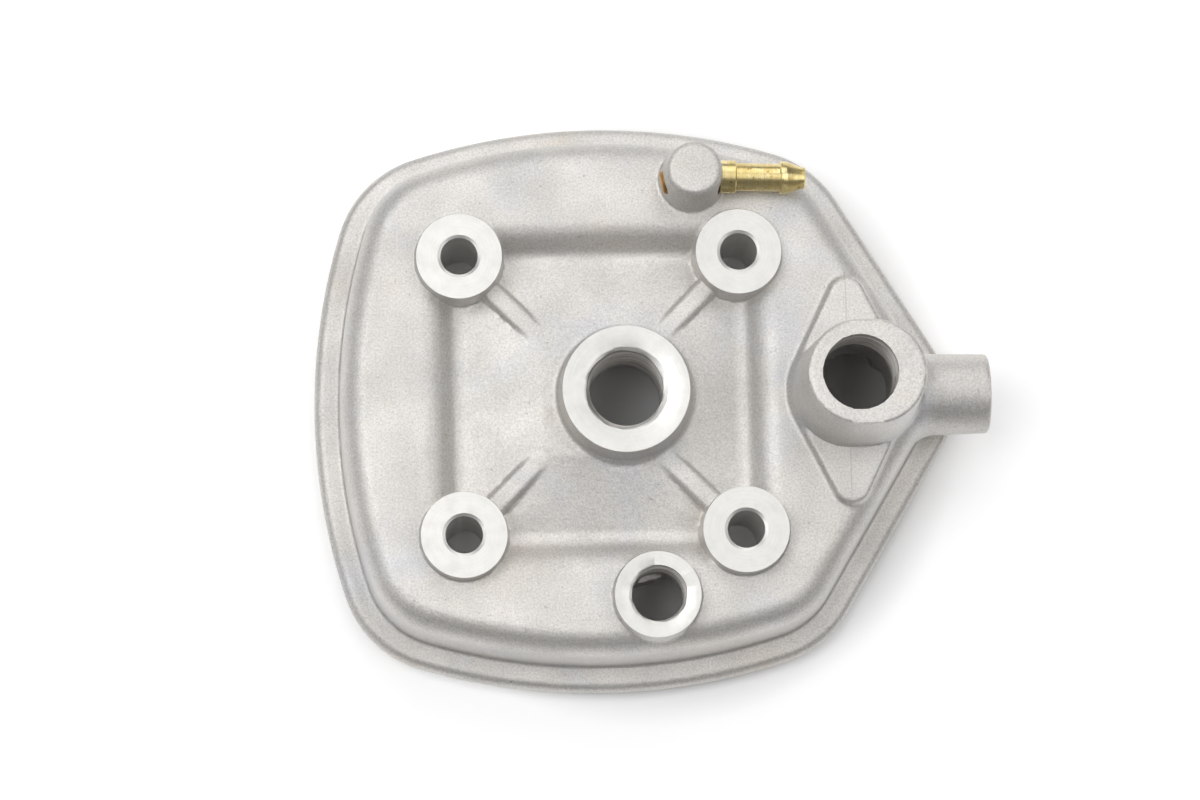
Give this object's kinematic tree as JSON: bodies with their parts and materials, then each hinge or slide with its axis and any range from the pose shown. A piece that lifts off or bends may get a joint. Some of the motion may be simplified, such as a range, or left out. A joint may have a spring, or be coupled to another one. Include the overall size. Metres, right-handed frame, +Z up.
{
  "type": "cylinder head",
  "caption": "Water-cooled two-stroke cylinder head: domed casting with stud bosses, spark-plug and sensor bosses, outlet tower with hose spigot, and a barbed brass bleed nipple.",
  "frame": {"origin": "middle of the outline's box on the flat sealing face", "axes": "+Z up from the sealing face towards the spark-plug boss, +X along the hose spigot"},
  "size_m": [0.1172, 0.0998, 0.042],
  "materials": {
    "cast_aluminium": "bead-blasted casting with turned seats",
    "brass": "turned brass",
    "seal_rubber": "black nitrile rubber"
  },
  "bodies": {
    "root": {"head_casting": "cast_aluminium", "bleed_nipple": "brass", "bleed_drilling_plug": "brass", "chamber_o_ring": "seal_rubber", "water_jacket_seal": "seal_rubber"}
  },
  "joints": []
}
